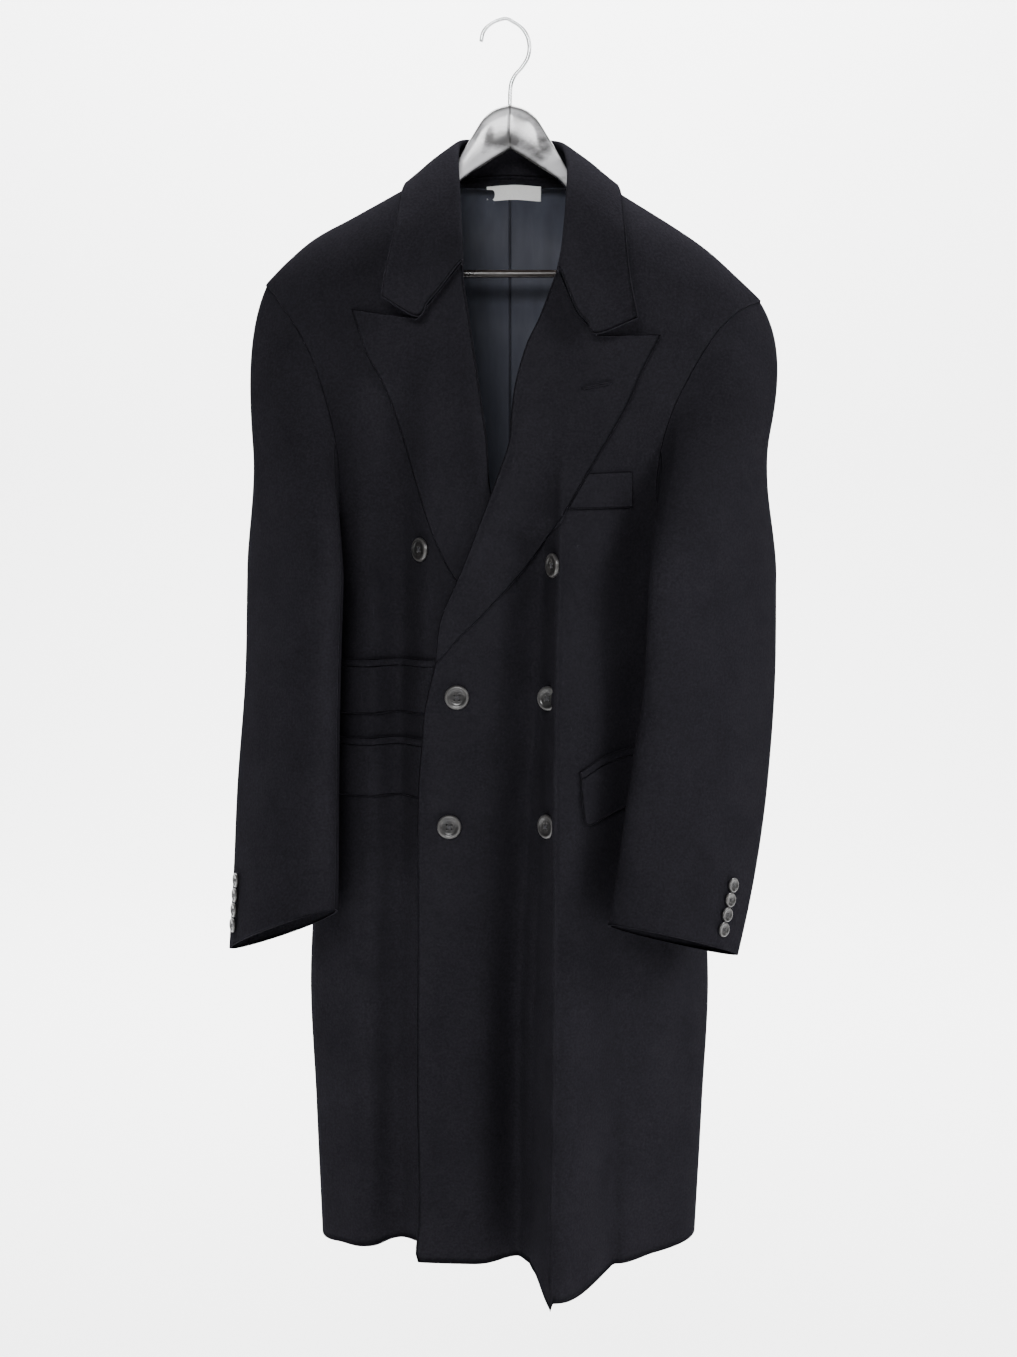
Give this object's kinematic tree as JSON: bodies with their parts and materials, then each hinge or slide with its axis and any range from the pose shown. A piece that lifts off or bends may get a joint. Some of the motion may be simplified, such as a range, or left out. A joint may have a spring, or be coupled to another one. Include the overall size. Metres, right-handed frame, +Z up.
{
  "type": "double-breasted overcoat on a hanger",
  "caption": "Long dark wool overcoat, double-breasted with wide peak lapels, flap pockets and buttoned cuffs, hanging closed on a contoured wooden hanger with a wire hook",
  "frame": {"origin": "The inside top of the hook, where it bears on a rail or peg", "axes": "+Z up along the coat, the fronts face -Y, +X is the viewer's right, which is the wearer's left"},
  "size_m": [0.5576, 0.3169, 1.2572],
  "materials": {
    "overcoat_cloth": "matt dense wool",
    "lining_satin": "satin lining",
    "label_cloth": "woven label, bare",
    "horn_button": "polished dark horn",
    "hanger_wood": "dark lacquered wood",
    "hook_steel": "plated steel wire"
  },
  "bodies": {
    "root": {"back_left": "overcoat_cloth", "back_right": "overcoat_cloth", "breast_welt": "overcoat_cloth", "button_1": "horn_button", "button_2": "horn_button", "button_3": "horn_button", "button_4": "horn_button", "button_5": "horn_button", "button_6": "horn_button", "collar": "overcoat_cloth", "cuff_button_left_1": "horn_button", "cuff_button_left_2": "horn_button", "cuff_button_left_3": "horn_button", "cuff_button_left_4": "horn_button", "cuff_button_right_1": "horn_button", "cuff_button_right_2": "horn_button", "cuff_button_right_3": "horn_button", "cuff_button_right_4": "horn_button", "front_left": "overcoat_cloth", "front_right": "overcoat_cloth", "hanger": "hanger_wood", "hip_flap_left": "overcoat_cloth", "hip_flap_right": "overcoat_cloth", "hip_jet_left": "overcoat_cloth", "hip_jet_right": "overcoat_cloth", "hook": "hook_steel", "lapel_left": "overcoat_cloth", "lapel_right": "overcoat_cloth", "lining_left": "lining_satin", "lining_right": "lining_satin", "neck_facing": "overcoat_cloth", "neck_label": "label_cloth", "ticket_flap_left": "overcoat_cloth", "ticket_jet_left": "overcoat_cloth", "top_sleeve_left": "overcoat_cloth", "top_sleeve_right": "overcoat_cloth", "trouser_bar": "hanger_wood", "under_sleeve_left": "overcoat_cloth", "under_sleeve_right": "overcoat_cloth"}
  },
  "joints": []
}
